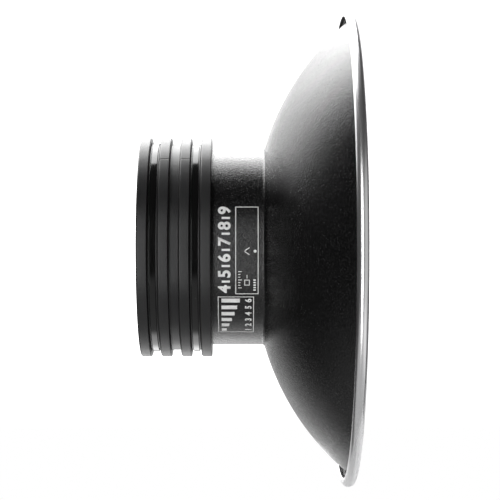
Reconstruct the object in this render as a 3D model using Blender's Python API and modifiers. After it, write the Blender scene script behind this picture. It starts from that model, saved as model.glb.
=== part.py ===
"""A narrow-beam dish reflector for a studio flash head, with a rubber clamp collar.

One sheet of spun aluminium makes the neck, the dish and the rolled rim. A ribbed rubber collar
is held on the neck. Two black steel straps lie in its grooves, and an over-centre lever draws
their ends together, which squeezes the rubber onto the flash head's round front.

Units are metres. +X is the optical axis towards the mouth, the origin is the centre of the
collar's rear opening, and +Z is up. Run with: blender --background --python part.py
"""

import math

import bmesh
import bpy
from mathutils import Matrix, Vector

MM = 0.001
GAP = 0.3 * MM  # between pieces that touch
PIN_GAP = 0.2 * MM  # round a pin in its hole
TURN_STEPS = 48  # sides of the large turned pieces
PIN_STEPS = 14  # sides of the pins and rivets

# The flash head that the collar grips
HEAD_RADIUS = 50.0 * MM

# Spun sheet: neck, dish and rim
SHEET = 1.2 * MM
NECK_RADIUS = 57.2 * MM
NECK_REAR_X = 27.2 * MM
NECK_LIP = 1.4 * MM
NECK_FILLET = 2.0 * MM
DISH_ARC_RADIUS = 153.5 * MM
DISH_ARC_X = 219.07 * MM
DISH_ARC_R = 14.58 * MM
RIM_RADIUS = 140.0 * MM
MOUTH_X = 123.35 * MM
ROLL_RADIUS = 3.3 * MM
ROLL_END_DEG = 215.0

# Rubber collar
RIB_COUNT = 4
RIB_WIDTH = 6.1 * MM
RIB_PITCH = 11.73 * MM
RIB_RADIUS = 64.2 * MM
RIB_CHAMFER = 0.7 * MM
GROOVE_RADIUS = 60.4 * MM
COLLAR_LENGTH = RIB_WIDTH + (RIB_COUNT - 1) * RIB_PITCH
GRIP_RIDGES = 3
GRIP_RIDGE_WIDTH = 3.4 * MM
GRIP_RIDGE_PITCH = 8.0 * MM
GRIP_RIDGE_FIRST_X = 4.6 * MM
GRIP_RIDGE_HEIGHT = 1.6 * MM
GRIP_RIDGE_SLOPE = 0.8 * MM

# Lacquered steel straps, in the first and the third groove
STRAP_WIDTH = 3.5 * MM
STRAP_THICKNESS = 0.6 * MM
STRAP_INNER = GROOVE_RADIUS + GAP
STRAP_OUTER = STRAP_INNER + STRAP_THICKNESS
REAR_STRAP_X = RIB_WIDTH / 2 + RIB_PITCH / 2
FRONT_STRAP_X = REAR_STRAP_X + 2 * RIB_PITCH

# The clamp lies over the straps on the far side. Its angles count upward round the axis from
# the lever's hinge, and its outlines are (outward, upward) points in the clamp's own frame.
CLAMP_DEG = 34.0
CLAMP_X = (REAR_STRAP_X + FRONT_STRAP_X) / 2
STRAP_END_HINGE_DEG = 4.0
STRAP_END_KEEPER_DEG = 12.0
HINGE_BRACKET_DEG = (-15.0, 4.5)
KEEPER_BRACKET_DEG = (11.5, 29.0)
HINGE_RIVETS_DEG = (-11.5, -5.5)
KEEPER_RIVETS_DEG = (18.0, 25.0)

FOOT_WIDTH = 4.4 * MM
FOOT_INNER = STRAP_OUTER + GAP
BRACKET_SHEET = 1.0 * MM
BRIDGE_INNER = RIB_RADIUS + 0.4 * MM
BRIDGE_OUTER = BRIDGE_INNER + BRACKET_SHEET

RIVET_RADIUS = 0.7 * MM
RIVET_HEAD_RADIUS = 1.25 * MM
RIVET_HEAD_HEIGHT = 0.6 * MM
RIVET_SHIFT = 0.3 * MM  # away from the bracket's web

HINGE = Vector((0.0, 69.4 * MM, 0.0))
LINK_PIVOT = Vector((0.0, 68.8 * MM, -6.4 * MM))
DRAW_BAR = Vector((0.0, 67.3 * MM, 17.0 * MM))
HINGE_PIN_RADIUS = 1.3 * MM
LINK_PIN_RADIUS = 1.2 * MM
PIN_HEAD_HEIGHT = 0.6 * MM
PIN_HEAD_MARGIN = 0.8 * MM

LEVER_HALF_WIDTH = 6.5 * MM
LEVER_SHEET = 1.2 * MM
LEVER_ROOT_RADIUS = 2.75 * MM
LEVER_INNER = 66.4 * MM
LEVER_TIP_OUTER = 69.8 * MM
LEVER_TAPER_DEG = (-2.0, -14.0)
LEVER_CHEEK_END_DEG = -20.0
LEVER_TANG_END_DEG = -33.0
LEVER_TANG_HALF_WIDTH = 5.6 * MM
TANG_OVERLAP_DEG = 2.0  # how far the tang starts inside the channel
CHANNEL_OVERRUN_DEG = 4.0  # the channel's cut runs out past the cheeks,
CHANNEL_BELOW = 4.0 * MM  # below them
CHANNEL_MOUTH = 2.0 * MM  # and above the root

EAR_THICKNESS = 1.2 * MM
EAR_HALF_BASE = 3.4 * MM
EAR_X = LEVER_HALF_WIDTH + GAP + EAR_THICKNESS / 2

LINK_THICKNESS = 1.2 * MM
LINK_HALF_HEIGHT = 2.2 * MM
LINK_X = EAR_X + EAR_THICKNESS / 2 + PIN_GAP + PIN_HEAD_HEIGHT + PIN_GAP + LINK_THICKNESS / 2

HOOK_HALF_WIDTH = 5.0 * MM
HOOK_SHEET = 1.6 * MM
HOOK_TOP = 70.2 * MM
HOOK_TOE = 0.6 * MM  # how far the hook's foot reaches past the draw bar's middle

GRIP_DEG = (-21.5, -37.5)
GRIP_INNER = 65.3 * MM
GRIP_OUTER = 72.0 * MM
GRIP_HALF_WIDTH = 7.6 * MM
GRIP_BEVEL = 1.0 * MM
POCKET_MOUTH_DEG = 2.0  # from the grip's upper end to the end of its pocket
POCKET_END_DEG = 0.3  # clearance past the tang's tip

PIN_CUT_LENGTH = 40.0 * MM
RIVET_CUT_LENGTH = 8.0 * MM
SADDLE_STEP_DEG = 3.0
STRAP_STEP_DEG = 6.0


def clear_scene():
    for obj in list(bpy.data.objects):
        bpy.data.objects.remove(obj)


def new_collection(name):
    collection = bpy.data.collections.new(name)
    bpy.context.scene.collection.children.link(collection)
    return collection


def new_material(name, colour, roughness, metallic):
    material = bpy.data.materials.new(name)
    material.use_nodes = True
    shader = material.node_tree.nodes["Principled BSDF"]
    shader.inputs["Base Color"].default_value = (*colour, 1.0)
    shader.inputs["Roughness"].default_value = roughness
    shader.inputs["Metallic"].default_value = metallic
    material.diffuse_color = (*colour, 1.0)
    return material


clear_scene()
PARTS = new_collection("dish_reflector")
CUTTERS = new_collection("cutters")


def as_part(obj, look, parent=None):
    """Puts a finished piece in the parts collection, with its own material."""
    PARTS.objects.link(obj)
    colour, roughness, metallic = look
    obj.data.materials.clear()
    obj.data.materials.append(new_material(obj.name, colour, roughness, metallic))
    if parent is not None:
        obj.parent = parent
        # A pivot's own offset is taken back out, so each piece is drawn in the clamp's frame.
        if parent.parent is not None:
            obj.matrix_parent_inverse = Matrix.Translation(-pivot_offset(parent))


def pivot_offset(empty):
    """Where a pivot stands in the clamp's frame."""
    offset = Vector(empty.location)
    if empty.parent.parent is not None:
        offset += pivot_offset(empty.parent)
    return offset


def as_cutter(obj, parent=None):
    """Hides a shape that only cuts, or is joined to, another piece."""
    CUTTERS.objects.link(obj)
    obj.hide_render = True
    obj.display_type = "WIRE"
    obj.parent = parent
    return obj


def combine(obj, other, operation):
    boolean = obj.modifiers.new(other.name, "BOOLEAN")
    boolean.operation = operation
    boolean.solver = "EXACT"
    boolean.object = other


def new_empty(name, location, parent=None):
    empty = bpy.data.objects.new(name, None)
    empty.empty_display_size = 5 * MM
    empty.location = location
    empty.parent = parent
    PARTS.objects.link(empty)
    return empty


def polar(radius, degrees):
    """A point in the clamp's frame, as (outward, upward)."""
    angle = math.radians(degrees)
    return (radius * math.cos(angle), radius * math.sin(angle))


def arc(centre, radius, start_deg, end_deg, segments):
    """Points along an arc, both ends included."""
    points = []
    for i in range(segments + 1):
        angle = math.radians(start_deg + (end_deg - start_deg) * i / segments)
        points.append((centre[0] + radius * math.cos(angle), centre[1] + radius * math.sin(angle)))
    return points


def turned(name, profile, closed=True, steps=TURN_STEPS):
    """Turns a profile of (along the axis, radius) points about the X axis."""
    mesh = bpy.data.meshes.new(name)
    count = len(profile)
    edges = [(i, i + 1) for i in range(count - 1)]
    if closed:
        edges.append((count - 1, 0))
    mesh.from_pydata([(radius, 0.0, along) for along, radius in profile], edges, [])
    obj = bpy.data.objects.new(name, mesh)
    obj.rotation_euler = (0.0, math.pi / 2, 0.0)
    screw = obj.modifiers.new("turn", "SCREW")
    screw.axis = "Z"
    screw.steps = steps
    screw.render_steps = steps
    screw.use_merge_vertices = True
    screw.merge_threshold = 0.00001
    screw.use_smooth_shade = True
    return obj


def plate(name, outline, x_centre, thickness):
    """A flat outline of (outward, upward) points, as thick along X as given."""
    curve = bpy.data.curves.new(name, "CURVE")
    curve.dimensions = "2D"
    curve.fill_mode = "BOTH"
    curve.extrude = thickness / 2
    spline = curve.splines.new("POLY")
    spline.points.add(len(outline) - 1)
    for point, (outward, upward) in zip(spline.points, outline):
        point.co = (outward, upward, 0.0, 1.0)
    spline.use_cyclic_u = True
    sketch = bpy.data.objects.new(name + "_sketch", curve)
    bpy.context.scene.collection.objects.link(sketch)
    graph = bpy.context.evaluated_depsgraph_get()
    mesh = bpy.data.meshes.new_from_object(sketch.evaluated_get(graph))
    bpy.data.objects.remove(sketch)
    weld(mesh)
    obj = bpy.data.objects.new(name, mesh)
    obj.rotation_euler = (math.pi / 2, 0.0, math.pi / 2)
    obj.location = (x_centre, 0.0, 0.0)
    return obj


def weld(mesh):
    """Joins the loose caps to the walls, and turns every face outward."""
    shape = bmesh.new()
    shape.from_mesh(mesh)
    bmesh.ops.remove_doubles(shape, verts=shape.verts, dist=0.000001)
    bmesh.ops.recalc_face_normals(shape, faces=shape.faces)
    shape.to_mesh(mesh)
    shape.free()


def swept(name, section, start_deg, end_deg):
    """Sweeps a flat section of (along X, radius) points round the X axis, from angle to angle."""
    shape = bmesh.new()
    start = math.radians(start_deg)
    corners = []
    for along, radius in section:
        corners.append(shape.verts.new((along, radius * math.cos(start), radius * math.sin(start))))
    face = shape.faces.new(corners)
    bmesh.ops.spin(
        shape,
        geom=[face, *face.edges, *face.verts],
        cent=(0.0, 0.0, 0.0),
        axis=(1.0, 0.0, 0.0),
        angle=math.radians(end_deg - start_deg),
        steps=math.ceil(abs(end_deg - start_deg) / SADDLE_STEP_DEG),
    )
    bmesh.ops.recalc_face_normals(shape, faces=shape.faces)
    mesh = bpy.data.meshes.new(name)
    shape.to_mesh(mesh)
    shape.free()
    return bpy.data.objects.new(name, mesh)


def rod(name, radius, length, location, rotation, steps=PIN_STEPS):
    """A plain round cutter, lying along its own Z."""
    shape = bmesh.new()
    bmesh.ops.create_cone(
        shape, cap_ends=True, segments=steps, radius1=radius, radius2=radius, depth=length
    )
    mesh = bpy.data.meshes.new(name)
    shape.to_mesh(mesh)
    shape.free()
    obj = bpy.data.objects.new(name, mesh)
    obj.location = location
    obj.rotation_euler = rotation
    return obj


def bore_along_x(obj, name, point, radius, parent):
    """Cuts a round hole for a pin that lies along X."""
    place = (CLAMP_X, point.y, point.z)
    cutter = rod(name, radius, PIN_CUT_LENGTH, place, (0.0, math.pi / 2, 0.0))
    combine(obj, as_cutter(cutter, parent), "DIFFERENCE")


# --- Reflector shell ---------------------------------------------------------------------------


def dish_angle(radius):
    """The angle on the dish's arc where its outer face reaches this radius."""
    rise = (radius - DISH_ARC_R) / DISH_ARC_RADIUS
    return 180.0 - math.degrees(math.asin(rise))


def rim_profile():
    """The black side of the rim: a wide turn off the dish, then the tight roll behind it."""
    roll_x = MOUTH_X - ROLL_RADIUS
    roll_r = RIM_RADIUS - ROLL_RADIUS
    inner_arc = DISH_ARC_RADIUS - SHEET
    # The wide turn touches the dish's inner face at one end and the mouth's plane at the other.
    dx = DISH_ARC_X - MOUTH_X
    dr = roll_r - DISH_ARC_R
    wide = (dx * dx + dr * dr - inner_arc * inner_arc) / (2.0 * (inner_arc - dx))
    wide_x = MOUTH_X - wide
    start = math.degrees(math.atan2(DISH_ARC_R - roll_r, DISH_ARC_X - wide_x))
    turn = arc((wide_x, roll_r), wide - SHEET, start, 0.0, 3)
    roll = arc((roll_x, roll_r), ROLL_RADIUS - SHEET, 0.0, ROLL_END_DEG, 7)
    return turn + roll[1:]


def make_reflector_shell():
    rim = rim_profile()
    fillet_r = NECK_RADIUS + NECK_FILLET
    reach = DISH_ARC_RADIUS + NECK_FILLET
    fillet_x = DISH_ARC_X - math.sqrt(reach * reach - (fillet_r - DISH_ARC_R) ** 2)
    touch = math.degrees(math.atan2(DISH_ARC_R - fillet_r, DISH_ARC_X - fillet_x))
    profile = [(NECK_REAR_X, NECK_RADIUS + NECK_LIP), (NECK_REAR_X, NECK_RADIUS)]
    profile += arc((fillet_x, fillet_r), NECK_FILLET, -90.0, touch, 2)
    first = 180.0 + touch
    last = dish_angle(rim[0][1])
    profile += arc((DISH_ARC_X, DISH_ARC_R), DISH_ARC_RADIUS, first, last, 8)[1:-1]
    profile += rim
    shell = turned("reflector_shell", profile[::-1], closed=False)
    solidify = shell.modifiers.new("sheet", "SOLIDIFY")
    solidify.thickness = SHEET
    solidify.offset = -1.0
    solidify.use_even_offset = True
    as_part(shell, BLACK_POWDER_COAT)


# --- Rubber collar -----------------------------------------------------------------------------


def collar_outside():
    """The ribs and grooves, from the rear face to the front face."""
    points = []
    for i in range(RIB_COUNT):
        rear = i * RIB_PITCH
        front = rear + RIB_WIDTH
        if i > 0:
            points.append((rear, GROOVE_RADIUS))
        points.append((rear, RIB_RADIUS - RIB_CHAMFER))
        points.append((rear + RIB_CHAMFER, RIB_RADIUS))
        points.append((front - RIB_CHAMFER, RIB_RADIUS))
        points.append((front, RIB_RADIUS - RIB_CHAMFER))
        if i < RIB_COUNT - 1:
            points.append((front, GROOVE_RADIUS))
    return points


def collar_inside():
    """The seat round the neck and its lip, then the ridges that grip the head."""
    seat = NECK_RADIUS + GAP
    lip_rear = NECK_REAR_X - SHEET - GAP
    lip_front = NECK_REAR_X + GAP
    lip_seat = seat + NECK_LIP
    relief = HEAD_RADIUS + GRIP_RIDGE_HEIGHT
    points = [(COLLAR_LENGTH, seat), (lip_front, seat), (lip_front, lip_seat)]
    points += [(lip_rear, lip_seat), (lip_rear, relief)]
    for i in reversed(range(GRIP_RIDGES)):
        middle = GRIP_RIDGE_FIRST_X + i * GRIP_RIDGE_PITCH
        half = GRIP_RIDGE_WIDTH / 2
        crest = half - GRIP_RIDGE_SLOPE
        points.append((middle + half, relief))
        points.append((middle + crest, HEAD_RADIUS))
        points.append((middle - crest, HEAD_RADIUS))
        points.append((middle - half, relief))
    points.append((0.0, relief))
    return points


def make_collar():
    profile = collar_outside() + collar_inside()
    as_part(turned("rubber_collar", profile[::-1]), BLACK_RUBBER)


# --- Straps, brackets and rivets ---------------------------------------------------------------


def make_strap(name, x_centre):
    """A lacquered spring-steel band, open where the clamp draws its ends together."""
    start = STRAP_END_KEEPER_DEG
    end = 360.0 + STRAP_END_HINGE_DEG
    segments = round((end - start) / STRAP_STEP_DEG)
    outline = arc((0.0, 0.0), STRAP_OUTER, start, end, segments)
    outline += arc((0.0, 0.0), STRAP_INNER, end, start, segments)
    strap = plate(name, outline, x_centre, STRAP_WIDTH)
    for degrees in HINGE_RIVETS_DEG + KEEPER_RIVETS_DEG:
        cut_rivet_hole(strap, x_centre, degrees)
    as_part(strap, BLACK_LACQUER, CLAMP)


def rivet_x(strap_x):
    side = 1.0 if strap_x > CLAMP_X else -1.0
    return strap_x + side * RIVET_SHIFT


def cut_rivet_hole(obj, strap_x, degrees):
    outward, upward = polar((STRAP_INNER + FOOT_INNER) / 2, degrees)
    turn = (math.radians(degrees) - math.pi / 2, 0.0, 0.0)
    name = f"{obj.name}_rivet_hole"
    place = (rivet_x(strap_x), outward, upward)
    cutter = rod(name, RIVET_RADIUS + PIN_GAP, RIVET_CUT_LENGTH, place, turn)
    combine(obj, as_cutter(cutter, CLAMP), "DIFFERENCE")


def saddle_section():
    """The bracket's section: a foot on each strap, and a bridge over the ribs between them."""
    half = FOOT_WIDTH / 2
    rear_out = REAR_STRAP_X - half
    rear_in = REAR_STRAP_X + half
    front_in = FRONT_STRAP_X - half
    front_out = FRONT_STRAP_X + half
    foot_outer = FOOT_INNER + BRACKET_SHEET
    return [
        (rear_out, FOOT_INNER),
        (rear_in, FOOT_INNER),
        (rear_in, BRIDGE_INNER),
        (front_in, BRIDGE_INNER),
        (front_in, FOOT_INNER),
        (front_out, FOOT_INNER),
        (front_out, foot_outer),
        (front_in + BRACKET_SHEET, foot_outer),
        (front_in + BRACKET_SHEET, BRIDGE_OUTER),
        (rear_in - BRACKET_SHEET, BRIDGE_OUTER),
        (rear_in - BRACKET_SHEET, foot_outer),
        (rear_out, foot_outer),
    ]


def make_saddle(name, span_deg, rivets_deg):
    saddle = swept(name, saddle_section(), *span_deg)
    for strap_x in (REAR_STRAP_X, FRONT_STRAP_X):
        for degrees in rivets_deg:
            cut_rivet_hole(saddle, strap_x, degrees)
    return saddle


def ear_outline():
    """A lug that stands on the bridge and is round at the hinge."""
    base = (BRIDGE_INNER + BRIDGE_OUTER) / 2
    centre = (HINGE.y, HINGE.z)
    crown = arc(centre, LEVER_ROOT_RADIUS, 80.0, -80.0, 8)
    return [(base, -EAR_HALF_BASE), (base, EAR_HALF_BASE)] + crown


def make_hinge_bracket():
    bracket = make_saddle("hinge_bracket", HINGE_BRACKET_DEG, HINGE_RIVETS_DEG)
    for side in (-1, 1):
        ear = plate("hinge_ear", ear_outline(), CLAMP_X + side * EAR_X, EAR_THICKNESS)
        combine(bracket, as_cutter(ear, CLAMP), "UNION")
    bore_along_x(bracket, "hinge_hole", HINGE, HINGE_PIN_RADIUS + PIN_GAP, CLAMP)
    as_part(bracket, STEEL, CLAMP)


def hook_outline():
    """A wall that the draw bar pulls against, with a round seat at its foot."""
    base = (BRIDGE_INNER + BRIDGE_OUTER) / 2
    seat_radius = LINK_PIN_RADIUS + GAP
    bar = (DRAW_BAR.y, DRAW_BAR.z)
    wall_face = DRAW_BAR.z - seat_radius
    wall_back = wall_face - HOOK_SHEET
    crown = (HOOK_TOP, wall_back + HOOK_SHEET / 2)
    seat = arc(bar, seat_radius, 270.0, 205.0, 3)
    foot_far = math.degrees(math.asin((DRAW_BAR.z + HOOK_TOE) / base))
    foot_near = math.degrees(math.asin(wall_back / base))
    top = arc(crown, HOOK_SHEET / 2, -90.0, 90.0, 4)
    return [polar(base, foot_far), polar(base, foot_near)] + top + seat


def make_keeper_bracket():
    bracket = make_saddle("keeper_bracket", KEEPER_BRACKET_DEG, KEEPER_RIVETS_DEG)
    hook = plate("keeper_hook", hook_outline(), CLAMP_X, 2 * HOOK_HALF_WIDTH)
    combine(bracket, as_cutter(hook, CLAMP), "UNION")
    as_part(bracket, STEEL, CLAMP)


def rivet_profile():
    """A domed head on the foot and a shank through to the strap's inner face."""
    head_seat = FOOT_INNER + BRACKET_SHEET + PIN_GAP
    crown = head_seat + RIVET_HEAD_HEIGHT
    return [
        (STRAP_INNER, 0.0),
        (STRAP_INNER, RIVET_RADIUS),
        (head_seat, RIVET_RADIUS),
        (head_seat, RIVET_HEAD_RADIUS),
        (head_seat + 0.55 * RIVET_HEAD_HEIGHT, 0.85 * RIVET_HEAD_RADIUS),
        (crown, 0.4 * RIVET_HEAD_RADIUS),
        (crown, 0.0),
    ]


def make_rivets():
    """Two rivets through each end of each strap."""
    groups = (("hinge", HINGE_RIVETS_DEG), ("keeper", KEEPER_RIVETS_DEG))
    straps = (("rear", REAR_STRAP_X), ("front", FRONT_STRAP_X))
    for end_name, angles in groups:
        for strap_name, strap_x in straps:
            for number, degrees in enumerate(angles, start=1):
                name = f"{end_name}_rivet_{strap_name}_{number}"
                rivet = turned(name, rivet_profile()[::-1], closed=False, steps=PIN_STEPS)
                rivet.rotation_euler = (math.radians(degrees) - math.pi / 2, 0.0, 0.0)
                rivet.location = (rivet_x(strap_x), 0.0, 0.0)
                as_part(rivet, BRIGHT_STEEL, CLAMP)


# --- Pins, lever, grip and links ---------------------------------------------------------------


def make_pin(name, point, radius, half_span, parent):
    """A headed pin along X, with its heads just outside the outer faces it holds."""
    head = half_span + PIN_GAP
    head_radius = radius + PIN_HEAD_MARGIN
    side = [(head, radius), (head, head_radius), (head + PIN_HEAD_HEIGHT, head_radius)]
    side.append((head + PIN_HEAD_HEIGHT, 0.0))
    other = [(-along, r) for along, r in reversed(side)]
    pin = turned(name, (other + side)[::-1], closed=False, steps=PIN_STEPS)
    pin.location = (CLAMP_X, point.y, point.z)
    as_part(pin, BRIGHT_STEEL, parent)


def lever_outer(degrees):
    """The radius of the lever's back, which thins from its root to its tip."""
    root = HINGE.y + LEVER_ROOT_RADIUS
    start, end = LEVER_TAPER_DEG
    part = min(max((degrees - start) / (end - start), 0.0), 1.0)
    return root + (LEVER_TIP_OUTER - root) * part


def lever_back(start_deg, end_deg, inset, segments):
    """Points along the lever's back, set in from it."""
    points = []
    for i in range(segments + 1):
        degrees = start_deg + (end_deg - start_deg) * i / segments
        points.append(polar(lever_outer(degrees) - inset, degrees))
    return points


def cheek_outline():
    """The lever's side, round at the hinge and cut straight at the end of its cheeks."""
    start = LEVER_TAPER_DEG[0]
    end = LEVER_CHEEK_END_DEG
    root = arc((HINGE.y, HINGE.z), LEVER_ROOT_RADIUS, 180.0, 0.0, 8)
    return root + lever_back(start, end, 0.0, 6) + arc((0.0, 0.0), LEVER_INNER, end, start, 6)


def channel_outline():
    """The hollow under the lever's back, open towards the collar."""
    start = LEVER_TAPER_DEG[0]
    end = LEVER_CHEEK_END_DEG - CHANNEL_OVERRUN_DEG
    near = LEVER_INNER - CHANNEL_BELOW
    mouth = LEVER_ROOT_RADIUS + CHANNEL_MOUTH
    top = HINGE.y + LEVER_ROOT_RADIUS - LEVER_SHEET
    return (
        [(near, mouth), (top, mouth)]
        + lever_back(start, end, LEVER_SHEET, 6)
        + arc((0.0, 0.0), near, end, start, 6)
    )


def make_lever():
    """A pressed lever: two cheeks under one back, and a tang that runs on into the grip."""
    width = 2 * LEVER_HALF_WIDTH
    lever = plate("clamp_lever", cheek_outline(), CLAMP_X, width)
    channel = plate("lever_channel", channel_outline(), CLAMP_X, width - 2 * LEVER_SHEET)
    combine(lever, as_cutter(channel, CLAMP), "DIFFERENCE")
    start = LEVER_TAPER_DEG[1] - TANG_OVERLAP_DEG
    end = LEVER_TANG_END_DEG
    outline = lever_back(start, end, 0.0, 5) + lever_back(end, start, LEVER_SHEET, 5)
    tang = plate("lever_tang", outline, CLAMP_X, 2 * LEVER_TANG_HALF_WIDTH)
    combine(lever, as_cutter(tang, CLAMP), "UNION")
    bore_along_x(lever, "lever_hinge_hole", HINGE, HINGE_PIN_RADIUS + PIN_GAP, CLAMP)
    bore_along_x(lever, "lever_link_hole", LINK_PIVOT, LINK_PIN_RADIUS + PIN_GAP, CLAMP)
    as_part(lever, BLACK_STEEL, LEVER_AXIS)


def make_grip():
    """A moulded thumb grip on the lever's tang."""
    start, end = GRIP_DEG
    outline = arc((0.0, 0.0), GRIP_OUTER, start, end, 4) + arc((0.0, 0.0), GRIP_INNER, end, start, 4)
    grip = plate("lever_grip", outline, CLAMP_X, 2 * GRIP_HALF_WIDTH)
    bevel = grip.modifiers.new("soft_edges", "BEVEL")
    bevel.width = GRIP_BEVEL
    bevel.segments = 2
    bevel.angle_limit = math.radians(40.0)
    pocket_start = start + POCKET_MOUTH_DEG
    pocket_end = LEVER_TANG_END_DEG - POCKET_END_DEG
    outer = LEVER_TIP_OUTER + GAP
    inner = LEVER_TIP_OUTER - LEVER_SHEET - GAP
    pocket_outline = arc((0.0, 0.0), outer, pocket_start, pocket_end, 5)
    pocket_outline += arc((0.0, 0.0), inner, pocket_end, pocket_start, 5)
    pocket = plate("grip_pocket", pocket_outline, CLAMP_X, 2 * (LEVER_TANG_HALF_WIDTH + GAP))
    combine(grip, as_cutter(pocket, CLAMP), "DIFFERENCE")
    as_part(grip, BLACK_PLASTIC, LEVER_AXIS)


def link_outline():
    """A flat bar with round ends, from the link pin to the draw bar."""
    run = DRAW_BAR - LINK_PIVOT
    lean = math.degrees(math.atan2(run.z, run.y))
    far = arc((DRAW_BAR.y, DRAW_BAR.z), LINK_HALF_HEIGHT, lean - 90.0, lean + 90.0, 8)
    near = arc((LINK_PIVOT.y, LINK_PIVOT.z), LINK_HALF_HEIGHT, lean + 90.0, lean + 270.0, 8)
    return far + near


def make_links():
    for name, side in (("draw_link_rear", -1), ("draw_link_front", 1)):
        link = plate(name, link_outline(), CLAMP_X + side * LINK_X, LINK_THICKNESS)
        hole = LINK_PIN_RADIUS + PIN_GAP
        bore_along_x(link, name + "_pin_hole", LINK_PIVOT, hole, CLAMP)
        bore_along_x(link, name + "_bar_hole", DRAW_BAR, hole, CLAMP)
        as_part(link, STEEL, LINK_AXIS)


# --- Finishes: colour, roughness, metallic -----------------------------------------------------

BLACK_POWDER_COAT = ((0.018, 0.018, 0.019), 0.5, 0.0)
BLACK_RUBBER = ((0.02, 0.02, 0.021), 0.75, 0.0)
BLACK_LACQUER = ((0.012, 0.012, 0.012), 0.12, 0.0)
BLACK_STEEL = ((0.02, 0.02, 0.022), 0.4, 0.0)
BLACK_PLASTIC = ((0.025, 0.025, 0.026), 0.55, 0.0)
STEEL = ((0.62, 0.62, 0.63), 0.25, 1.0)
BRIGHT_STEEL = ((0.72, 0.72, 0.72), 0.2, 1.0)

CLAMP = new_empty("clamp_frame", (0.0, 0.0, 0.0))
CLAMP.rotation_euler = (math.radians(CLAMP_DEG), 0.0, 0.0)
LEVER_AXIS = new_empty("lever_axis", HINGE, CLAMP)
LINK_AXIS = new_empty("link_axis", LINK_PIVOT - HINGE, LEVER_AXIS)

make_reflector_shell()
make_collar()
make_strap("rear_strap", REAR_STRAP_X)
make_strap("front_strap", FRONT_STRAP_X)
make_hinge_bracket()
make_keeper_bracket()
make_rivets()
make_lever()
make_grip()
make_links()
EAR_SPAN = EAR_X + EAR_THICKNESS / 2
LINK_SPAN = LINK_X + LINK_THICKNESS / 2
make_pin("hinge_pin", HINGE, HINGE_PIN_RADIUS, EAR_SPAN, CLAMP)
make_pin("link_pin", LINK_PIVOT, LINK_PIN_RADIUS, LINK_SPAN, LEVER_AXIS)
make_pin("draw_bar", DRAW_BAR, LINK_PIN_RADIUS, LINK_SPAN, LINK_AXIS)
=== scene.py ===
"""Looks for the dish reflector: a spun shell, a ribbed rubber collar, steel straps and the clamp.

Everything is in metres and in the CAD's frame: +X is the optical axis towards the mouth, the
origin is the centre of the collar's rear opening, and +Z is up. The photograph's camera looks
along +Y.
"""

import math

import bmesh
import bpy
from mathutils import Matrix, Vector


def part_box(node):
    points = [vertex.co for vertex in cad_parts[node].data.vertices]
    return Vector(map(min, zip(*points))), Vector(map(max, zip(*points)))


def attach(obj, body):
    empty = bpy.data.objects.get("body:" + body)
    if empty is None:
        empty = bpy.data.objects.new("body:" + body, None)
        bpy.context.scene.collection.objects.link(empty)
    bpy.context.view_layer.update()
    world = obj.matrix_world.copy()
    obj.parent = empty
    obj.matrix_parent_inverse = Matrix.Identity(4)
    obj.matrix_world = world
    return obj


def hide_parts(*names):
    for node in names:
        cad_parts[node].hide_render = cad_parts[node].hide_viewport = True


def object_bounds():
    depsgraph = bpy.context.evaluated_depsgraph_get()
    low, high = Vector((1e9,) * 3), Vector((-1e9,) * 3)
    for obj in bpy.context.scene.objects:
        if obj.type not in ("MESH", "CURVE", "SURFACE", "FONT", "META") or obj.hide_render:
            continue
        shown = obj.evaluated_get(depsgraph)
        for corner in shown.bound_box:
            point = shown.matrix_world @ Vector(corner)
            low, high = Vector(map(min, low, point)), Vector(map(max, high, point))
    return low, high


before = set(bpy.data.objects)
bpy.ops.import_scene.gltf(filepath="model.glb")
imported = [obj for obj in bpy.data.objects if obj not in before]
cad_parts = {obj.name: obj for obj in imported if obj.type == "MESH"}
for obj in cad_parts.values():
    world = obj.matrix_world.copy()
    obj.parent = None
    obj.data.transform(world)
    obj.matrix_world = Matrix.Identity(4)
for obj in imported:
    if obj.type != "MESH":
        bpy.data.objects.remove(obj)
CAD_LOW, CAD_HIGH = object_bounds()

MM = 0.001
BODY = "reflector_body"
LEVER = "lever"

# Places taken from the frame
COLLAR_LOW, COLLAR_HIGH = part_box("rubber_collar")
COLLAR_LENGTH = COLLAR_HIGH.x - COLLAR_LOW.x
RIB_RADIUS = COLLAR_HIGH.z
RIM_RADIUS = CAD_HIGH.z
MOUTH_X = CAD_HIGH.x
STRAP_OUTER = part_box("rear_strap")[1].z

# Shell
SHEET = 1.2 * MM
NECK_RADIUS = 57.2 * MM
NECK_REAR_X = 27.2 * MM
NECK_LIP = 1.4 * MM
LIP_BEND = 0.4 * MM
NECK_FILLET = 2.0 * MM
DISH_ARC_RADIUS = 153.5 * MM
DISH_ARC_X = 219.07 * MM
DISH_ARC_R = 14.58 * MM
ROLL_RADIUS = 3.3 * MM
ROLL_END_DEG = 215.0
DISH_SEGMENTS = 48
TURN_SEGMENTS = 10
ROLL_SEGMENTS = 30

# Collar, outside
RIB_COUNT = 4
RIB_WIDTH = 6.1 * MM
RIB_PITCH = (COLLAR_LENGTH - RIB_WIDTH) / (RIB_COUNT - 1)
RIB_DRAFT = 0.15 * MM
RIB_REAR_CORNER = 0.95 * MM
RIB_FRONT_CORNER = 0.45 * MM
GROOVE_RADIUS = 60.4 * MM
GROOVE_CORNER = 0.3 * MM
SEAM_DEG = 51.0  # above the horizontal, on the camera's side
SEAM_HALF_DEG = 0.45
SEAM_DEPTH = 0.28 * MM
SEAM_REACH = 0.9 * MM  # how far down a rib's sides it runs
SEAM_TOLERANCE_DEG = 0.01

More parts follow.
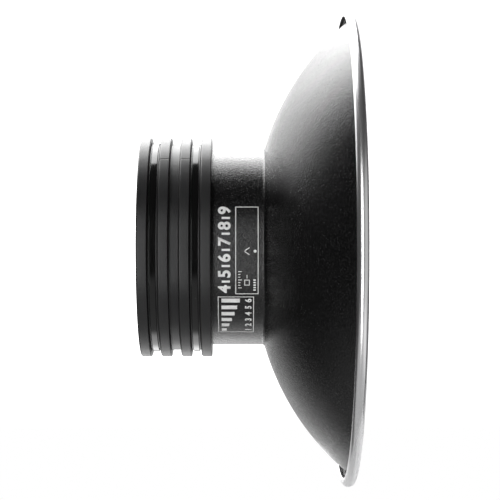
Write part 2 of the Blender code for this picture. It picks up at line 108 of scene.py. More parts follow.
# Collar, inside: the seat round the neck, and the ridges that grip the flash head
SEAT_CLEARANCE = 0.05 * MM
SEAT_FRONT_CORNER = 0.4 * MM
SEAT_CORNER = 0.1 * MM
HEAD_RADIUS = 50.0 * MM
RELIEF_RADIUS = HEAD_RADIUS + 1.6 * MM
RELIEF_CORNER = 0.6 * MM
BORE_RIDGES_X = (20.6 * MM, 12.6 * MM, 4.6 * MM)
BORE_RIDGE_HALF_FOOT = 1.7 * MM
BORE_RIDGE_HALF_TOP = 0.9 * MM
BORE_RIDGE_FOOT_CORNER = 0.4 * MM
BORE_RIDGE_TOP_CORNER = 0.5 * MM

# Straps
STRAP_THICKNESS = 0.6 * MM
STRAP_EDGE = 0.22 * MM
CLAMP_DEG = 34.0
STRAP_ENDS_DEG = (12.0, 364.0)  # from the clamp's angle

# Clamp
REBUILT = ("reflector_shell", "rubber_collar", "rear_strap", "front_strap", "lever_grip")
EDGE_BREAK = 0.2 * MM
EDGE_BREAK_ABOVE_DEG = 35.0
GRIP_DEG = (-3.5, 12.5)
GRIP_RADII = (65.3 * MM, 71.9 * MM)
GRIP_CORNERS = (1.0 * MM, 1.3 * MM)
GRIP_RIDGES = 6
GRIP_RIDGE_HEIGHT = 0.8 * MM
GRIP_PLAIN_END_DEG = 1.2
GRIP_STEPS = 96

STEPS = 288  # sides of a full turn in the visible meshes
SHARP_ABOVE_DEG = 40.0


# --- Mesh helpers ------------------------------------------------------------------------------


def arc(centre, radius, start_deg, end_deg, segments):
    """Points along an arc, both ends included."""
    points = []
    for i in range(segments + 1):
        angle = math.radians(start_deg + (end_deg - start_deg) * i / segments)
        points.append((centre[0] + radius * math.cos(angle), centre[1] + radius * math.sin(angle)))
    return points


def rounded(corners, segments=4):
    """A closed outline from (x, y, radius) corners, each rounded by its radius."""
    outline = []
    count = len(corners)
    for i, (x, y, radius) in enumerate(corners):
        here = Vector((x, y))
        before = Vector(corners[i - 1][:2]) - here
        after = Vector(corners[(i + 1) % count][:2]) - here
        half = before.angle(after) / 2
        reach = radius / math.tan(half)
        limit = 0.49 * min(before.length, after.length)
        if reach > limit:
            reach = limit
            radius = reach * math.tan(half)
        centre = here + (before.normalized() + after.normalized()).normalized() * (
            radius / math.sin(half)
        )
        first = here + before.normalized() * reach - centre
        last = here + after.normalized() * reach - centre
        turn = first.angle_signed(last)
        for k in range(segments + 1):
            spoke = first.copy()
            spoke.rotate(Matrix.Rotation(-turn * k / segments, 2))
            outline.append(tuple(centre + spoke))
    return outline


def full_turn(extra_deg=()):
    """Angles of a full turn, with extra ones put in where a narrow mark needs them."""
    angles = {round(360.0 * i / STEPS, 4) for i in range(STEPS)}
    angles |= {round(a % 360.0, 4) for a in extra_deg}
    return sorted(angles)


def part_turn(start_deg, end_deg, steps):
    """Angles from one end to the other in equal steps, both ends included."""
    return [start_deg + (end_deg - start_deg) * i / steps for i in range(steps + 1)]


def ring_point(x, radius, degrees):
    """A point round the optical axis: 0 degrees is the far side (+Y), 90 is up."""
    angle = math.radians(degrees)
    return (x, radius * math.cos(angle), radius * math.sin(angle))


def linked_object(name, shape):
    """Makes a mesh object from a bmesh, which it frees, and puts it in the scene."""
    mesh = bpy.data.meshes.new(name)
    shape.to_mesh(mesh)
    shape.free()
    obj = bpy.data.objects.new(name, mesh)
    bpy.context.scene.collection.objects.link(obj)
    return obj


def revolved(name, profile, angles, closed=True, slots=None, tweak=None):
    """Turns a closed (x, radius) outline about the X axis, through a full turn or part of one."""
    shape = bmesh.new()
    rows = []
    for degrees in angles:
        row = []
        for x, radius in profile:
            if tweak is not None:
                radius += tweak(x, radius, degrees)
            row.append(shape.verts.new(ring_point(x, radius, degrees)))
        rows.append(row)
    count = len(profile)
    turns = len(rows) if closed else len(rows) - 1
    for i in range(turns):
        here = rows[i]
        there = rows[(i + 1) % len(rows)]
        for k in range(count):
            after = (k + 1) % count
            face = shape.faces.new((here[k], here[after], there[after], there[k]))
            face.smooth = True
            if slots is not None:
                face.material_index = slots[k]
    if not closed:
        shape.faces.new(rows[0])
        shape.faces.new(rows[-1][::-1])
    bmesh.ops.recalc_face_normals(shape, faces=shape.faces)
    obj = linked_object(name, shape)
    obj.data.set_sharp_from_angle(angle=math.radians(SHARP_ABOVE_DEG))
    keep_flats_flat(obj)
    return obj


def keep_flats_flat(obj):
    """Lets the large faces set the shading, so that only the rounded edges look round."""
    weighted = obj.modifiers.new("flat_faces", "WEIGHTED_NORMAL")
    weighted.weight = 100
    weighted.keep_sharp = True


def finish_piece(obj, body, materials, replaced=()):
    """Gives a piece its materials and its place in the frame."""
    for material in materials:
        obj.data.materials.append(material)
    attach(obj, body)
    if replaced:
        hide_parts(*replaced)


# --- Node helpers ------------------------------------------------------------------------------


class NodeTree:
    """A short way to add nodes to a tree and to link them."""

    def __init__(self, tree):
        self.tree = tree

    def add(self, kind, **settings):
        node = self.tree.nodes.new(kind)
        for key, value in settings.items():
            setattr(node, key, value)
        return node

    def link(self, output, socket):
        self.tree.links.new(output, socket)

    def feed(self, sockets, values):
        """Sets each socket to its number, or links it to another node's output."""
        for socket, value in zip(sockets, values):
            if isinstance(value, (int, float)):
                socket.default_value = value
            else:
                self.link(value, socket)

    def math(self, operation, *values):
        node = self.add("ShaderNodeMath", operation=operation)
        self.feed(node.inputs, values)
        return node.outputs[0]

    def stretch(self, output, low, high, to_low, to_high, **settings):
        """Maps the range from low to high to the one from to_low to to_high."""
        node = self.add("ShaderNodeMapRange", **settings)
        self.feed(node.inputs, (output, low, high, to_low, to_high))
        return node.outputs["Result"]


class Look(NodeTree):
    """A material whose patterns are laid out in the object's own coordinates."""

    def __init__(self, name, colour, roughness, metallic=0.0):
        self.material = bpy.data.materials.new(name)
        self.material.use_nodes = True
        super().__init__(self.material.node_tree)
        self.shader = self.tree.nodes["Principled BSDF"]
        self.shader.inputs["Base Color"].default_value = (*colour, 1.0)
        self.shader.inputs["Roughness"].default_value = roughness
        self.shader.inputs["Metallic"].default_value = metallic
        self.place = self.add("ShaderNodeTexCoord").outputs["Object"]

    def noise(self, scale, detail=2.0, vector=None, roughness=0.5):
        node = self.add("ShaderNodeTexNoise")
        node.inputs["Scale"].default_value = scale
        node.inputs["Detail"].default_value = detail
        node.inputs["Roughness"].default_value = roughness
        self.link(self.place if vector is None else vector, node.inputs["Vector"])
        return node.outputs["Fac"]

    def blend_colour(self, factor, dark, light):
        node = self.add("ShaderNodeMix", data_type="RGBA")
        node.inputs["A"].default_value = (*dark, 1.0)
        node.inputs["B"].default_value = (*light, 1.0)
        self.link(factor, node.inputs["Factor"])
        return node.outputs["Result"]

    def round_axis(self):
        """The place along the optical axis, the distance from it and the angle round it."""
        split = self.add("ShaderNodeSeparateXYZ")
        self.link(self.place, split.inputs[0])
        y = split.outputs["Y"]
        z = split.outputs["Z"]
        squares = self.math("ADD", self.math("MULTIPLY", y, y), self.math("MULTIPLY", z, z))
        return split.outputs["X"], self.math("SQRT", squares), self.math("ARCTAN2", z, y)

    def combine(self, x, y, z):
        node = self.add("ShaderNodeCombineXYZ")
        self.feed(node.inputs, (x, y, z))
        return node.outputs[0]

    def bump(self, height, strength, distance, before=None):
        node = self.add("ShaderNodeBump")
        node.inputs["Strength"].default_value = strength
        node.inputs["Distance"].default_value = distance
        self.link(height, node.inputs["Height"])
        if before is not None:
            self.link(before, node.inputs["Normal"])
        return node.outputs["Normal"]

    def done(self, colour=None, roughness=None, normal=None):
        if colour is not None:
            self.link(colour, self.shader.inputs["Base Color"])
        if roughness is not None:
            self.link(roughness, self.shader.inputs["Roughness"])
        if normal is not None:
            self.link(normal, self.shader.inputs["Normal"])
        return self.material


# --- Materials ---------------------------------------------------------------------------------
# A noise's scale is in patches per metre, so 1000 gives patches about a millimetre across. A
# noise with a vector of its own has that vector scaled instead.


def powder_coat():
    """Black powder coat: a sandy grain about a millimetre across, and handling marks."""
    look = Look("black_powder_coat", (0.005, 0.005, 0.0052), 0.25)
    look.shader.inputs["Specular IOR Level"].default_value = 0.46
    grain = look.noise(900.0, detail=3.0, roughness=0.7)
    specks = look.noise(1100.0, detail=2.0, roughness=0.7)
    marks = look.noise(35.0, detail=5.0)
    normal = look.bump(grain, 0.8, 0.3 * MM)
    mixed = look.math("ADD", look.math("MULTIPLY", marks, 0.3), look.math("MULTIPLY", specks, 0.7))
    roughness = look.stretch(mixed, 0.36, 0.64, 0.12, 0.28)
    tone = look.stretch(specks, 0.42, 0.64, 0.0, 1.0)
    colour = look.blend_colour(tone, (0.0015, 0.0015, 0.0016), (0.016, 0.016, 0.0163))
    return look.done(colour, roughness, normal)


def rubber():
    """Matte moulded rubber with a soft bloom and a few specks of dust."""
    look = Look("black_rubber", (0.02, 0.02, 0.021), 0.62)
    look.shader.inputs["Specular IOR Level"].default_value = 0.45
    fine = look.noise(2200.0, detail=2.0)
    soft = look.noise(160.0, detail=3.0)
    bloom = look.noise(28.0, detail=4.0)
    normal = look.bump(soft, 0.12, 0.4 * MM)
    normal = look.bump(fine, 0.35, 0.1 * MM, normal)
    roughness = look.stretch(bloom, 0.3, 0.7, 0.34, 0.46)
    specks = look.stretch(look.noise(900.0, detail=1.0), 0.74, 0.80, 0.0, 0.5)
    tone = look.math("ADD", look.stretch(bloom, 0.3, 0.75, 0.0, 0.5), specks)
    colour = look.blend_colour(tone, (0.008, 0.008, 0.0083), (0.030, 0.030, 0.031))
    return look.done(colour, roughness, normal)


def spun_aluminium():
    """Bare aluminium with the fine rings that spinning and polishing leave round the axis."""
    look = Look("spun_aluminium", (0.80, 0.80, 0.81), 0.30, 1.0)
    x, radius, angle = look.round_axis()
    along = look.math("ADD", x, radius)
    fine_place = look.combine(look.math("MULTIPLY", along, 2600.0), angle, 0.0)
    rings = look.noise(1.0, detail=4.0, vector=fine_place, roughness=0.7)
    broad_place = look.combine(
        look.math("MULTIPLY", along, 260.0),
        look.math("MULTIPLY", angle, 0.6),
        0.0,
    )
    broad = look.noise(1.0, detail=2.0, vector=broad_place)
    smudge = look.noise(22.0, detail=4.0)
    normal = look.bump(broad, 0.10, 0.5 * MM)
    normal = look.bump(rings, 0.25, 0.1 * MM, normal)
    mixed = look.math("ADD", look.math("MULTIPLY", rings, 0.5), look.math("MULTIPLY", smudge, 0.5))
    roughness = look.stretch(mixed, 0.3, 0.7, 0.24, 0.36)
    tone = look.stretch(mixed, 0.3, 0.7, 0.0, 1.0)
    colour = look.blend_colour(tone, (0.72, 0.72, 0.73), (0.86, 0.86, 0.865))
    return look.done(colour, roughness, normal)


def gloss_lacquer():
    """Gloss black lacquer on the strap, with a faint waviness and fine scuffs along it."""
    look = Look("black_lacquer", (0.004, 0.004, 0.004), 0.1)
    x, radius, angle = look.round_axis()
    along = look.combine(
        look.math("MULTIPLY", x, 2500.0),
        look.math("MULTIPLY", angle, 6.0),
        radius,
    )
    scuffs = look.noise(1.0, detail=3.0, vector=along)
    waves = look.noise(90.0, detail=1.0)
    normal = look.bump(waves, 0.05, 0.5 * MM)
    normal = look.bump(scuffs, 0.05, 0.03 * MM, normal)
    roughness = look.stretch(scuffs, 0.3, 0.7, 0.07, 0.16)
    worn = look.stretch(look.noise(500.0, detail=2.0), 0.70, 0.78, 0.0, 0.35)
    colour = look.blend_colour(worn, (0.003, 0.003, 0.003), (0.05, 0.05, 0.05))
    return look.done(colour, roughness, normal)


def bare_steel(name, colour, smooth, rough):
    """Pressed or turned steel with fine scratches, from the smooth roughness to the rough one."""
    look = Look(name, colour, (smooth + rough) / 2, 1.0)
    grain = look.add("ShaderNodeMapping")
    grain.inputs["Scale"].default_value = (3000.0, 180.0, 180.0)
    look.link(look.place, grain.inputs["Vector"])
    scratches = look.noise(1.0, detail=3.0, vector=grain.outputs[0])
    marks = look.noise(140.0, detail=4.0)
    normal = look.bump(scratches, 0.12, 0.04 * MM)
    roughness = look.stretch(marks, 0.3, 0.7, smooth, rough)
    darker = tuple(0.8 * channel for channel in colour)
    tone = look.stretch(marks, 0.3, 0.7, 0.0, 1.0)
    return look.done(look.blend_colour(tone, darker, colour), roughness, normal)


def lever_paint():
    """Satin black coat on the pressed lever."""
    look = Look("lever_coat", (0.015, 0.015, 0.016), 0.38)
    peel = look.noise(700.0, detail=2.0)
    marks = look.noise(70.0, detail=5.0)
    normal = look.bump(peel, 0.2, 0.1 * MM)
    roughness = look.stretch(marks, 0.3, 0.7, 0.30, 0.44)
    tone = look.stretch(marks, 0.35, 0.8, 0.0, 1.0)
    colour = look.blend_colour(tone, (0.012, 0.012, 0.013), (0.03, 0.03, 0.031))
    return look.done(colour, roughness, normal)


def grip_plastic():
    """Spark-eroded texture on the moulded thumb grip."""
    look = Look("grip_plastic", (0.022, 0.022, 0.023), 0.55)
    cells = look.add("ShaderNodeTexVoronoi")
    cells.inputs["Scale"].default_value = 1500.0
    look.link(look.place, cells.inputs["Vector"])
    marks = look.noise(60.0, detail=4.0)
    normal = look.bump(cells.outputs["Distance"], 0.35, 0.1 * MM)
    roughness = look.stretch(marks, 0.3, 0.7, 0.48, 0.62)
    tone = look.stretch(marks, 0.3, 0.8, 0.0, 1.0)
    colour = look.blend_colour(tone, (0.018, 0.018, 0.019), (0.036, 0.036, 0.037))
    return look.done(colour, roughness, normal)


def print_ink():
    """White screen-print ink, a little uneven over the coat's texture."""
    look = Look("white_print", (0.88, 0.88, 0.87), 0.45)
    grain = look.noise(1500.0, detail=3.0, roughness=0.6)
    patch = look.noise(300.0, detail=4.0)
    normal = look.bump(grain, 0.3, 0.1 * MM)
    roughness = look.stretch(patch, 0.3, 0.7, 0.38, 0.55)
    tone = look.stretch(patch, 0.25, 0.5, 0.0, 1.0)
    colour = look.blend_colour(tone, (0.72, 0.72, 0.71), (0.92, 0.92, 0.91))
    return look.done(colour, roughness, normal)


# --- Reflector shell ---------------------------------------------------------------------------


def rim_path(offset):
    """The rim from the dish to the roll's free edge. Offset 0 is the bare side, SHEET the coated one."""
    roll_x = MOUTH_X - ROLL_RADIUS
    roll_r = RIM_RADIUS - ROLL_RADIUS
    inner_arc = DISH_ARC_RADIUS - SHEET
    ahead = DISH_ARC_X - MOUTH_X
    outward = roll_r - DISH_ARC_R
    # The turn joins the dish's arc smoothly and reaches the mouth's plane at the roll's height.
    gap = ahead * ahead + outward * outward - inner_arc * inner_arc
    turn_radius = gap / (2.0 * (inner_arc - ahead))
    turn_x = MOUTH_X - turn_radius
    start = math.degrees(math.atan2(DISH_ARC_R - roll_r, DISH_ARC_X - turn_x))
    turn = arc((turn_x, roll_r), turn_radius - offset, start, 0.0, TURN_SEGMENTS)
    roll = arc((roll_x, roll_r), ROLL_RADIUS - offset, 0.0, ROLL_END_DEG, ROLL_SEGMENTS)
    return turn + roll[1:]


def sheet_path(offset):
    """One face of the sheet, from the lip at the neck's rear to the roll's free edge."""
    rim = rim_path(offset)
    neck = NECK_RADIUS - SHEET + offset
    dish = DISH_ARC_RADIUS - SHEET + offset
    fillet = NECK_FILLET + SHEET - offset
    fillet_r = neck + fillet
    reach = dish + fillet
    fillet_x = DISH_ARC_X - math.sqrt(reach * reach - (fillet_r - DISH_ARC_R) ** 2)
    touch = math.degrees(math.atan2(DISH_ARC_R - fillet_r, DISH_ARC_X - fillet_x))
    lip_x = NECK_REAR_X - SHEET + offset
    bend = LIP_BEND + SHEET - offset
    path = [(lip_x, NECK_RADIUS + NECK_LIP)]
    path += arc((lip_x + bend, neck + bend), bend, 180.0, 270.0, 5)
    path += arc((fillet_x, fillet_r), fillet, -90.0, touch, 6)
    last = 180.0 - math.degrees(math.asin((rim[0][1] - DISH_ARC_R) / dish))
    path += arc((DISH_ARC_X, DISH_ARC_R), dish, 180.0 + touch, last, DISH_SEGMENTS)[1:-1]
    return path + rim


def make_shell(coat, bare):
    """One sheet: black outside, bare metal inside and round the roll."""
    outside = sheet_path(SHEET)
    inside = sheet_path(0.0)
    profile = outside + inside[::-1]
    slots = [0] * (len(outside) - 1) + [1] * (len(inside) + 1)
    shell = revolved("shell_sheet", profile, full_turn(), slots=slots)
    finish_piece(shell, BODY, (coat, bare), ("reflector_shell",))


# --- Rubber collar -----------------------------------------------------------------------------


def outer_corners():
    """The ribs and grooves from the rear to the front, as (x, radius, corner radius)."""
    corners = []
    for i in range(RIB_COUNT):
        rear = COLLAR_LOW.x + i * RIB_PITCH
        front = rear + RIB_WIDTH
        rear_draft = RIB_DRAFT if i > 0 else 0.0
        front_draft = RIB_DRAFT if i < RIB_COUNT - 1 else 0.0
        if rear_draft:
            corners.append((rear - rear_draft, GROOVE_RADIUS, GROOVE_CORNER))
        corners.append((rear + rear_draft, RIB_RADIUS, RIB_REAR_CORNER))
        corners.append((front - front_draft, RIB_RADIUS, RIB_FRONT_CORNER))
        if front_draft:
            corners.append((front + front_draft, GROOVE_RADIUS, GROOVE_CORNER))
    return corners


def inner_corners():
    """The neck's seat and the grip ridges from the front to the rear, in the same form."""
    seat = NECK_RADIUS + SEAT_CLEARANCE
    seat_lip = seat + NECK_LIP
    lip_rear = NECK_REAR_X - SHEET - SEAT_CLEARANCE
    lip_front = NECK_REAR_X + SEAT_CLEARANCE
    corners = [
        (COLLAR_HIGH.x, seat, SEAT_FRONT_CORNER),
        (lip_front, seat, SEAT_CORNER),
        (lip_front, seat_lip, SEAT_CORNER),
        (lip_rear, seat_lip, SEAT_CORNER),
        (lip_rear, RELIEF_RADIUS, RELIEF_CORNER),
    ]
    for middle in BORE_RIDGES_X:
        corners += [
            (middle + BORE_RIDGE_HALF_FOOT, RELIEF_RADIUS, BORE_RIDGE_FOOT_CORNER),
            (middle + BORE_RIDGE_HALF_TOP, HEAD_RADIUS, BORE_RIDGE_TOP_CORNER),
            (middle - BORE_RIDGE_HALF_TOP, HEAD_RADIUS, BORE_RIDGE_TOP_CORNER),
            (middle - BORE_RIDGE_HALF_FOOT, RELIEF_RADIUS, BORE_RIDGE_FOOT_CORNER),
        ]
    corners.append((COLLAR_LOW.x, RELIEF_RADIUS, RELIEF_CORNER))
    return corners


def seam_angles():
    """Where the mould's two halves meet: on the camera's side and opposite it."""
    first = 180.0 - SEAM_DEG
    return first, first + 180.0


def seam_tweak(x, radius, degrees):
    """A fine groove across the lands of the two middle ribs."""
    on_middle_ribs = RIB_PITCH - RIB_DRAFT < x < 3 * RIB_PITCH - RIB_DRAFT
    if not on_middle_ribs or radius < RIB_RADIUS - SEAM_REACH:
        return 0.0
    nearest = min(abs(degrees - angle) for angle in seam_angles())
    return -SEAM_DEPTH if nearest < SEAM_TOLERANCE_DEG else 0.0


def make_collar(material):
    """The ribbed rubber moulding."""
    profile = rounded(outer_corners() + inner_corners())
    marks = []
    for angle in seam_angles():
        marks += [angle - SEAM_HALF_DEG, angle, angle + SEAM_HALF_DEG]
    collar = revolved("collar_moulding", profile, full_turn(marks), tweak=seam_tweak)
    finish_piece(collar, BODY, (material,), ("rubber_collar",))


# --- Straps ------------------------------------------------------------------------------------


def make_strap(name, node, material):
    """A steel band in its groove, open at the clamp."""
    low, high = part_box(node)
    inner = STRAP_OUTER - STRAP_THICKNESS
    corners = [
        (low.x, inner, STRAP_EDGE),
        (low.x, STRAP_OUTER, STRAP_EDGE),
        (high.x, STRAP_OUTER, STRAP_EDGE),
        (high.x, inner, STRAP_EDGE),
    ]
    start, end = (CLAMP_DEG + angle for angle in STRAP_ENDS_DEG)
    angles = part_turn(start, end, STEPS)
    strap = revolved(name, rounded(corners, 3), angles, closed=False)
    finish_piece(strap, BODY, (material,), (node,))


# --- Print on the neck -------------------------------------------------------------------------


class Print:
    """Flat white marks in millimetres, along X and up round the neck, which are then wrapped."""

    STEP = 1.0 * MM
    SPAN_STEPS = 60
    LIFT = 0.03 * MM
    SINK = 0.02 * MM
    DISC_SIDES = 32
    DIGIT_SHARE = 0.7  # a digit's height in a font of size 1
    BOLDNESS = 0.05  # how far a digit's outline is pushed out, as a share of its height
    MERGE = 0.001 * MM

    def __init__(self):
        self.flat = bmesh.new()

    def polygon(self, points):
        corners = [self.flat.verts.new((x * MM, up * MM, 0.0)) for x, up in points]
        self.flat.faces.new(corners)

    def bar(self, rear, front, low, high):
        self.polygon([(rear, low), (front, low), (front, high), (rear, high)])

    def box(self, rear, front, low, high, line):
        self.bar(rear, front, low, low + line)
        self.bar(rear, front, high - line, high)
        self.bar(rear, rear + line, low + line, high - line)
        self.bar(front - line, front, low + line, high - line)

    def disc(self, x, up, radius):
        last = self.DISC_SIDES - 1
        self.polygon(arc((x, up), radius, 0.0, 360.0 * last / self.DISC_SIDES, last))

    def stroke(self, start, end, width):
        start = Vector(start)
        end = Vector(end)
        side = (end - start).orthogonal().normalized() * (width / 2)
        self.polygon([start + side, end + side, end - side, start - side])

    def digits(self, text, x, up, height):
        """A number that reads up the neck, with its foot at x and its middle at up."""
        curve = bpy.data.curves.new("digits", "FONT")
        curve.body = text
        curve.size = height / self.DIGIT_SHARE * MM
        curve.offset = self.BOLDNESS * height * MM
        curve.align_x = "CENTER"
        curve.resolution_u = 6
        sketch = bpy.data.objects.new("digits", curve)
        bpy.context.scene.collection.objects.link(sketch)
        graph = bpy.context.evaluated_depsgraph_get()
        mesh = bpy.data.meshes.new_from_object(sketch.evaluated_get(graph))
        bpy.data.objects.remove(sketch)
        quarter_turn = Matrix.Rotation(math.radians(90.0), 4, "Z")
        mesh.transform(Matrix.Translation((x * MM, up * MM, 0.0)) @ quarter_turn)
        self.flat.from_mesh(mesh)
        bpy.data.meshes.remove(mesh)

    def wrap(self, name, material):
        """Cuts the marks into short steps, gives them thickness and lays them round the neck."""
        shape = self.flat
        bmesh.ops.remove_doubles(shape, verts=shape.verts, dist=self.MERGE)
        for i in range(-self.SPAN_STEPS, self.SPAN_STEPS):
            everything = [*shape.verts, *shape.edges, *shape.faces]
            cut = (0.0, i * self.STEP, 0.0)
            bmesh.ops.bisect_plane(shape, geom=everything, plane_co=cut, plane_no=(0.0, 1.0, 0.0))
        bmesh.ops.recalc_face_normals(shape, faces=shape.faces)
        top = bmesh.ops.extrude_face_region(shape, geom=list(shape.faces), use_keep_orig=True)
        raised = {item for item in top["geom"] if isinstance(item, bmesh.types.BMVert)}
        for vert in shape.verts:
            radius = NECK_RADIUS + (self.LIFT if vert in raised else -self.SINK)
            angle = vert.co.y / NECK_RADIUS
            vert.co = (vert.co.x, -radius * math.cos(angle), radius * math.sin(angle))
        bmesh.ops.recalc_face_normals(shape, faces=shape.faces)
        finish_piece(linked_object(name, shape), BODY, (material,))


def make_scale_print(ink):
    """A bold graduated scale in the column next to the collar."""
    digits = "456789"
    digit_foot = 52.0
    marks = Print()
    for i, digit in enumerate(digits):
        middle = -24.0 + i * 9.0
        marks.digits(digit, digit_foot, middle, 6.5)
        if i < len(digits) - 1:
            marks.bar(47.4, digit_foot, middle + 3.9, middle + 5.1)
    marks.wrap("print_scale", ink)


def make_frame_print(ink):
    """A thin frame round a pointer, a dot and short lines."""
    marks = Print()
    marks.box(55.0, 67.9, -27.2, 23.2, 0.42)
    # Ticks at the frame's rear side, every third one longer
    for i in range(7):
        low = -23.5 + i * 1.6
        marks.bar(56.6, 57.8 if i % 3 else 58.6, low, low + 0.4)
    # An arrowhead that points to the rear, and a dot behind it
    marks.stroke((62.9, -0.2), (60.2, -2.0), 0.45)
    marks.stroke((62.9, -4.2), (60.2, -2.4), 0.45)
    marks.disc(66.0, -2.2, 0.85)
    # A small square with a stem
    marks.box(60.0, 63.0, -21.8, -18.4, 0.4)
    marks.stroke((61.5, -17.6), (61.5, -15.6), 0.4)
    # Short bars at the frame's front side
    for i in range(5):
        low = -25.0 + i * 1.5
        marks.bar(65.0, 66.4, low, low + 0.8)
    marks.wrap("print_frame", ink)


def make_level_print(ink):
    """A thin square round six numbered bars of growing length."""
    marks = Print()
    marks.box(45.2, 65.4, -57.6, -28.8, 0.4)
    for i in range(6):
        middle = -54.9 + i * 4.7
        marks.bar(47.2, 50.0 + 1.5 * i, middle - 1.3, middle + 1.3)
        marks.digits(str(i + 1), 63.9, middle, 3.4)
    marks.wrap("print_level", ink)


# --- Clamp -------------------------------------------------------------------------------------


def grip_tweak(x, radius, degrees):
    """Rounded ridges across the outer face, for the thumb."""
    low = GRIP_DEG[0] + GRIP_PLAIN_END_DEG
    high = GRIP_DEG[1] - GRIP_PLAIN_END_DEG
    if radius < sum(GRIP_RADII) / 2 or not low < degrees < high:
        return 0.0
    turn = 2.0 * math.pi * GRIP_RIDGES * (degrees - low) / (high - low)
    return -GRIP_RIDGE_HEIGHT * (0.5 - 0.5 * math.cos(turn)) ** 2


def make_grip(material):
    """The moulded thumb grip at the free end of the lever."""
    low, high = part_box("lever_grip")
    inner, outer = GRIP_RADII
    inner_corner, outer_corner = GRIP_CORNERS
    corners = [
        (low.x, inner, inner_corner),
        (low.x, outer, outer_corner),
        (high.x, outer, outer_corner),
        (high.x, inner, inner_corner),
    ]
    angles = part_turn(*GRIP_DEG, GRIP_STEPS)
    grip = revolved("grip_moulding", rounded(corners), angles, closed=False, tweak=grip_tweak)
    finish_piece(grip, LEVER, (material,), ("lever_grip",))


def dress_clamp(bracket, bright, lever):
    """Materials and broken edges for the CAD nodes that stay visible."""
    looks = {
        "hinge_bracket": bracket,
        "keeper_bracket": bracket,
        "draw_link_rear": bracket,
        "draw_link_front": bracket,
        "clamp_lever": lever,
    }
    for name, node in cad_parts.items():
        if name in REBUILT:
            continue
        node.data.materials.clear()
        node.data.materials.append(looks.get(name, bright))
        bevel = node.modifiers.new("broken_edges", "BEVEL")
        bevel.width = EDGE_BREAK
        bevel.segments = 2
        bevel.limit_method = "ANGLE"
        bevel.angle_limit = math.radians(EDGE_BREAK_ABOVE_DEG)
        keep_flats_flat(node)


# --- Studio ------------------------------------------------------------------------------------

CAMERA_DISTANCE = 937.0 * MM
CAMERA_X = 59.3 * MM
AIM = Vector((63.4 * MM, 0.0, -1.65 * MM))
LENS_MM = 114.3
SENSOR_MM = 36.0
FLOOR_Z = -0.36
FLOOR_RADIUS = 1.2
RIM_CARD_Z = -0.1406
RIM_CARD_CORNERS = ((0.095, -0.1), (0.18, 0.9))
RIM_CARD_GLOW = 0.25

# What surrounds the object, as soft-edged cards of light: (azimuth, elevation) of the middle,
# (half width, half height) as slopes, (side, end) softness of the edges, and radiance. Azimuth 0
# is the camera's side, 90 is towards the mouth (+X), 180 is behind the object.
SKY_CARDS = {
    "backdrop": ((180.0, 15.0), (1.15, 0.35), (0.20, 0.20), 1.8),
    "backdrop_top": ((-160.0, 27.0), (0.75, 0.14), (0.20, 0.14), 2.0),
    "overhead": ((-155.0, 53.6), (0.50, 0.41), (0.15, 0.04), 6.9),
    "low_behind": ((-173.0, -46.0), (0.13, 0.45), (0.08, 0.40), 2.1),
    "wide_behind": ((168.0, -20.0), (0.90, 0.42), (0.50, 0.20), 0.70),
    "strip_left": ((-20.0, -4.0), (0.16, 0.70), (0.10, 0.30), 6.5),
    "fill_right": ((52.0, -8.0), (0.70, 0.80), (0.50, 0.40), 0.55),
    "floor_glow": ((-10.0, -75.0), (1.8, 0.9), (0.8, 0.6), 0.45),
}
ROOM_RADIANCE = 0.05


class Sky(NodeTree):
    """The world's nodes: cards of light round the object."""

    def __init__(self, tree):
        super().__init__(tree)
        self.way = self.add("ShaderNodeTexCoord").outputs["Generated"]

    def along(self, direction):
        """How far the ray's direction goes along another one."""
        node = self.add("ShaderNodeVectorMath", operation="DOT_PRODUCT")
        node.inputs[1].default_value = direction
        self.link(self.way, node.inputs[0])
        return node.outputs["Value"]

    def edge(self, offset, half, softness):
        """1 inside a half width and 0 outside it, smooth over the softness."""
        start = half - softness / 2
        end = half + softness / 2
        distance = self.math("ABSOLUTE", offset)
        return self.stretch(distance, start, end, 1.0, 0.0, interpolation_type="SMOOTHERSTEP")

    def card(self, place, size, softness, radiance):
        azimuth, elevation = (math.radians(angle) for angle in place)
        flat = math.cos(elevation)
        middle = Vector((math.sin(azimuth) * flat, -math.cos(azimuth) * flat, math.sin(elevation)))
        side = Vector((math.cos(azimuth), math.sin(azimuth), 0.0))
        depth = self.along(middle)
        across = self.math("DIVIDE", self.along(side), depth)
        upward = self.math("DIVIDE", self.along(middle.cross(side)), depth)
        shape = self.math(
            "MULTIPLY",
            self.edge(across, size[0], softness[0]),
            self.edge(upward, size[1], softness[1]),
        )
        in_front = self.math("GREATER_THAN", depth, 0.001)
        return self.math("MULTIPLY", self.math("MULTIPLY", shape, in_front), radiance)


def make_world():
    """Lights the object from the cards, and leaves plain white for the camera to see."""
    world = bpy.data.worlds.new("studio")
    bpy.context.scene.world = world
    world.use_nodes = True
    world.node_tree.nodes.clear()
    sky = Sky(world.node_tree)
    light = ROOM_RADIANCE
    for card in SKY_CARDS.values():
        light = sky.math("ADD", sky.card(*card), light)
    rays = sky.add("ShaderNodeLightPath")
    background = sky.add("ShaderNodeBackground")
    light = sky.math("MAXIMUM", light, rays.outputs["Is Camera Ray"])
    sky.link(light, background.inputs["Color"])
    output = sky.add("ShaderNodeOutputWorld")
    sky.link(background.outputs[0], output.inputs["Surface"])


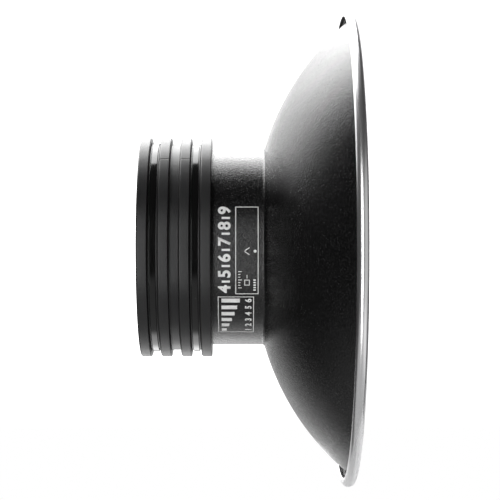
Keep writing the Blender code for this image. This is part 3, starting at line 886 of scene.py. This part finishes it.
def pale_surface(name, glow=0.0):
    """Matte, nearly white and faintly uneven."""
    look = Look(name, (0.80, 0.80, 0.80), 0.8)
    look.shader.inputs["Emission Color"].default_value = (1.0, 1.0, 1.0, 1.0)
    look.shader.inputs["Emission Strength"].default_value = glow
    tone = look.noise(3.0, detail=3.0)
    return look.done(look.blend_colour(tone, (0.78, 0.78, 0.78), (0.83, 0.83, 0.83)))


def make_floor():
    """A plain pale floor."""
    shape = bmesh.new()
    bmesh.ops.create_circle(shape, cap_ends=True, segments=96, radius=FLOOR_RADIUS)
    floor = linked_object("studio_floor", shape)
    floor.location = (AIM.x, 0.0, FLOOR_Z)
    # The cards light the object, so the floor is left out of its light and reflections.
    floor.visible_diffuse = False
    floor.visible_glossy = False
    floor.data.materials.append(pale_surface("pale_floor"))


def make_rim_card():
    """A narrow white card just under the rim, which lights the rim's lower end.

    The camera doesn't see it.
    """
    (rear, near), (front, far) = RIM_CARD_CORNERS
    corners = ((rear, near), (front, near), (front, far), (rear, far))
    shape = bmesh.new()
    shape.faces.new([shape.verts.new((x, y, RIM_CARD_Z)) for x, y in corners])
    card = linked_object("studio_rim_card", shape)
    card.visible_camera = False
    card.data.materials.append(pale_surface("white_card", RIM_CARD_GLOW))


def make_camera():
    """The photograph's viewing angle."""
    data = bpy.data.cameras.new("camera")
    data.lens = LENS_MM
    data.sensor_width = SENSOR_MM
    camera = bpy.data.objects.new("camera", data)
    bpy.context.scene.collection.objects.link(camera)
    camera.location = (CAMERA_X, -CAMERA_DISTANCE, 0.0)
    camera.rotation_euler = (AIM - camera.location).to_track_quat("-Z", "Y").to_euler()
    bpy.context.scene.camera = camera


def main():
    """The studio first, then the object from the shell to the clamp."""
    bpy.context.scene.view_settings.view_transform = "Standard"
    make_camera()
    make_world()
    make_floor()
    make_rim_card()
    make_shell(powder_coat(), spun_aluminium())
    make_collar(rubber())
    lacquer = gloss_lacquer()
    make_strap("strap_rear", "rear_strap", lacquer)
    make_strap("strap_front", "front_strap", lacquer)
    ink = print_ink()
    make_scale_print(ink)
    make_frame_print(ink)
    make_level_print(ink)
    bracket = bare_steel("bracket_steel", (0.42, 0.42, 0.43), 0.38, 0.50)
    bright = bare_steel("pin_steel", (0.70, 0.70, 0.70), 0.18, 0.28)
    dress_clamp(bracket, bright, lever_paint())
    make_grip(grip_plastic())


main()
